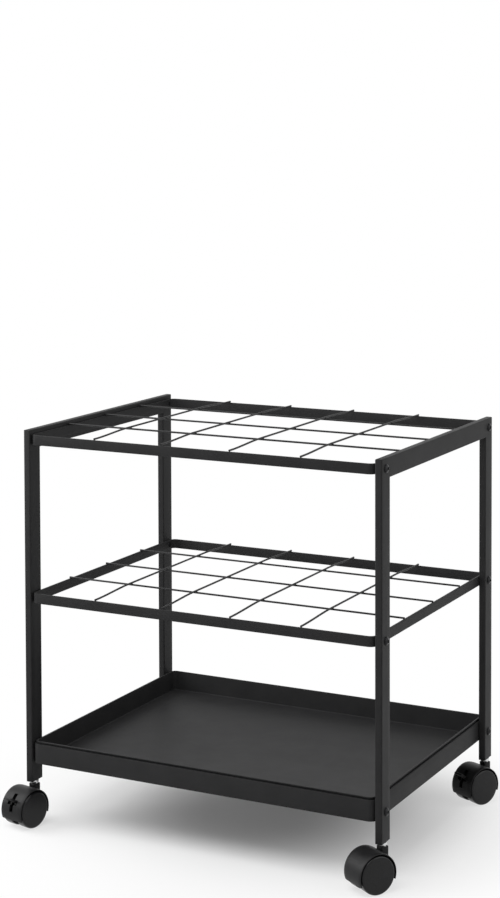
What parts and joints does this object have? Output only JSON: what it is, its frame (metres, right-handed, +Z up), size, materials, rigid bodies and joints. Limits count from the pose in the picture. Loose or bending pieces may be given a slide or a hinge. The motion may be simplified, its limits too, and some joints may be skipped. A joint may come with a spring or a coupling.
{
  "type": "blueprint storage cart",
  "caption": "Rolling steel cart for rolled drawings: an open frame with stacked wire grids that form upright slots above a shallow tray, on twin-wheel swivel casters with brakes.",
  "frame": {"origin": "on the floor, under the middle of the cart's whole outline, with its casters standing as in the picture", "axes": "+X to the right along the long side, +Y from the front to the back, +Z up"},
  "size_m": [0.551, 0.4166, 0.5225],
  "materials": {
    "powder_coat": "satin black powder coat",
    "wire_coat": "satin black powder coat",
    "screw_black": "black oxide, slightly glossy",
    "plated_steel": "bright zinc plating",
    "hood_plastic": "satin moulded black plastic",
    "wheel_plastic": "smooth moulded black plastic"
  },
  "bodies": {
    "frame": {"front_left_caster_stem": "plated_steel", "front_left_leg": "powder_coat", "front_right_caster_stem": "plated_steel", "front_right_leg": "powder_coat", "left_top_rail": "powder_coat", "middle_cross_wire_1": "wire_coat", "middle_cross_wire_2": "wire_coat", "middle_cross_wire_3": "wire_coat", "middle_cross_wire_4": "wire_coat", "middle_grid_hoop": "powder_coat", "middle_grid_screw_front_left": "screw_black", "middle_grid_screw_front_right": "screw_black", "middle_grid_screw_rear_left": "screw_black", "middle_grid_screw_rear_right": "screw_black", "middle_long_wire_1": "wire_coat", "middle_long_wire_2": "wire_coat", "middle_long_wire_3": "wire_coat", "rear_left_caster_stem": "plated_steel", "rear_left_leg": "powder_coat", "rear_right_caster_stem": "plated_steel", "rear_right_leg": "powder_coat", "right_top_rail": "powder_coat", "top_cross_wire_1": "wire_coat", "top_cross_wire_2": "wire_coat", "top_cross_wire_3": "wire_coat", "top_cross_wire_4": "wire_coat", "top_grid_hoop": "powder_coat", "top_grid_screw_front_left": "screw_black", "top_grid_screw_front_right": "screw_black", "top_grid_screw_rear_left": "screw_black", "top_grid_screw_rear_right": "screw_black", "top_long_wire_1": "wire_coat", "top_long_wire_2": "wire_coat", "top_long_wire_3": "wire_coat", "tray_band": "powder_coat", "tray_pan": "powder_coat", "tray_screw_front_left": "screw_black", "tray_screw_front_right": "screw_black", "tray_screw_rear_left": "screw_black", "tray_screw_rear_right": "screw_black"},
    "front_left_caster": {"front_left_caster_hood": "hood_plastic", "front_left_caster_axle": "plated_steel"},
    "front_left_caster_left_wheel": {"front_left_caster_left_wheel": "wheel_plastic"},
    "front_left_caster_right_wheel": {"front_left_caster_right_wheel": "wheel_plastic"},
    "front_left_caster_brake_lever": {"front_left_caster_brake_lever": "hood_plastic"},
    "front_right_caster": {"front_right_caster_hood": "hood_plastic", "front_right_caster_axle": "plated_steel"},
    "front_right_caster_left_wheel": {"front_right_caster_left_wheel": "wheel_plastic"},
    "front_right_caster_right_wheel": {"front_right_caster_right_wheel": "wheel_plastic"},
    "rear_left_caster": {"rear_left_caster_hood": "hood_plastic", "rear_left_caster_axle": "plated_steel"},
    "rear_left_caster_left_wheel": {"rear_left_caster_left_wheel": "wheel_plastic"},
    "rear_left_caster_right_wheel": {"rear_left_caster_right_wheel": "wheel_plastic"},
    "rear_right_caster": {"rear_right_caster_hood": "hood_plastic", "rear_right_caster_axle": "plated_steel"},
    "rear_right_caster_left_wheel": {"rear_right_caster_left_wheel": "wheel_plastic"},
    "rear_right_caster_right_wheel": {"rear_right_caster_right_wheel": "wheel_plastic"},
    "rear_right_caster_brake_lever": {"rear_right_caster_brake_lever": "hood_plastic"}
  },
  "joints": [
    {"name": "front_left_caster_swivel", "type": "hinge", "parent": "frame", "child": "front_left_caster", "pos_m": [-0.24476, -0.15718, 0.0517], "axis": [0, 0, 1], "continuous": true},
    {"name": "front_left_caster_left_wheel_spin", "type": "hinge", "parent": "front_left_caster", "child": "front_left_caster_left_wheel", "pos_m": [-0.24819, -0.17485, 0.02375], "axis": [0.9816, -0.1908, 0], "continuous": true},
    {"name": "front_left_caster_right_wheel_spin", "type": "hinge", "parent": "front_left_caster", "child": "front_left_caster_right_wheel", "pos_m": [-0.24819, -0.17485, 0.02375], "axis": [0.9816, -0.1908, 0], "continuous": true},
    {"name": "front_left_caster_brake", "type": "hinge", "parent": "front_left_caster", "child": "front_left_caster_brake_lever", "pos_m": [-0.25051, -0.18678, 0.03165], "axis": [0.9816, -0.1908, 0], "range_deg": [0, 16]},
    {"name": "front_right_caster_swivel", "type": "hinge", "parent": "frame", "child": "front_right_caster", "pos_m": [0.25575, -0.15718, 0.0517], "axis": [0, 0, 1], "continuous": true},
    {"name": "front_right_caster_left_wheel_spin", "type": "hinge", "parent": "front_right_caster", "child": "front_right_caster_left_wheel", "pos_m": [0.24621, -0.17244, 0.02375], "axis": [0.848, -0.5299, 0], "continuous": true},
    {"name": "front_right_caster_right_wheel_spin", "type": "hinge", "parent": "front_right_caster", "child": "front_right_caster_right_wheel", "pos_m": [0.24621, -0.17244, 0.02375], "axis": [0.848, -0.5299, 0], "continuous": true},
    {"name": "rear_left_caster_swivel", "type": "hinge", "parent": "frame", "child": "rear_left_caster", "pos_m": [-0.24476, 0.19282, 0.0517], "axis": [0, 0, 1], "continuous": true},
    {"name": "rear_left_caster_left_wheel_spin", "type": "hinge", "parent": "rear_left_caster", "child": "rear_left_caster_left_wheel", "pos_m": [-0.25032, 0.17571, 0.02375], "axis": [0.9511, -0.309, 0], "continuous": true},
    {"name": "rear_left_caster_right_wheel_spin", "type": "hinge", "parent": "rear_left_caster", "child": "rear_left_caster_right_wheel", "pos_m": [-0.25032, 0.17571, 0.02375], "axis": [0.9511, -0.309, 0], "continuous": true},
    {"name": "rear_right_caster_swivel", "type": "hinge", "parent": "frame", "child": "rear_right_caster", "pos_m": [0.25575, 0.19282, 0.0517], "axis": [0, 0, 1], "continuous": true},
    {"name": "rear_right_caster_left_wheel_spin", "type": "hinge", "parent": "rear_right_caster", "child": "rear_right_caster_left_wheel", "pos_m": [0.24785, 0.17665, 0.02375], "axis": [0.8988, -0.4384, 0], "continuous": true},
    {"name": "rear_right_caster_right_wheel_spin", "type": "hinge", "parent": "rear_right_caster", "child": "rear_right_caster_right_wheel", "pos_m": [0.24785, 0.17665, 0.02375], "axis": [0.8988, -0.4384, 0], "continuous": true},
    {"name": "rear_right_caster_brake", "type": "hinge", "parent": "rear_right_caster", "child": "rear_right_caster_brake_lever", "pos_m": [0.24252, 0.16572, 0.03165], "axis": [0.8988, -0.4384, 0], "range_deg": [0, 16]}
  ]
}
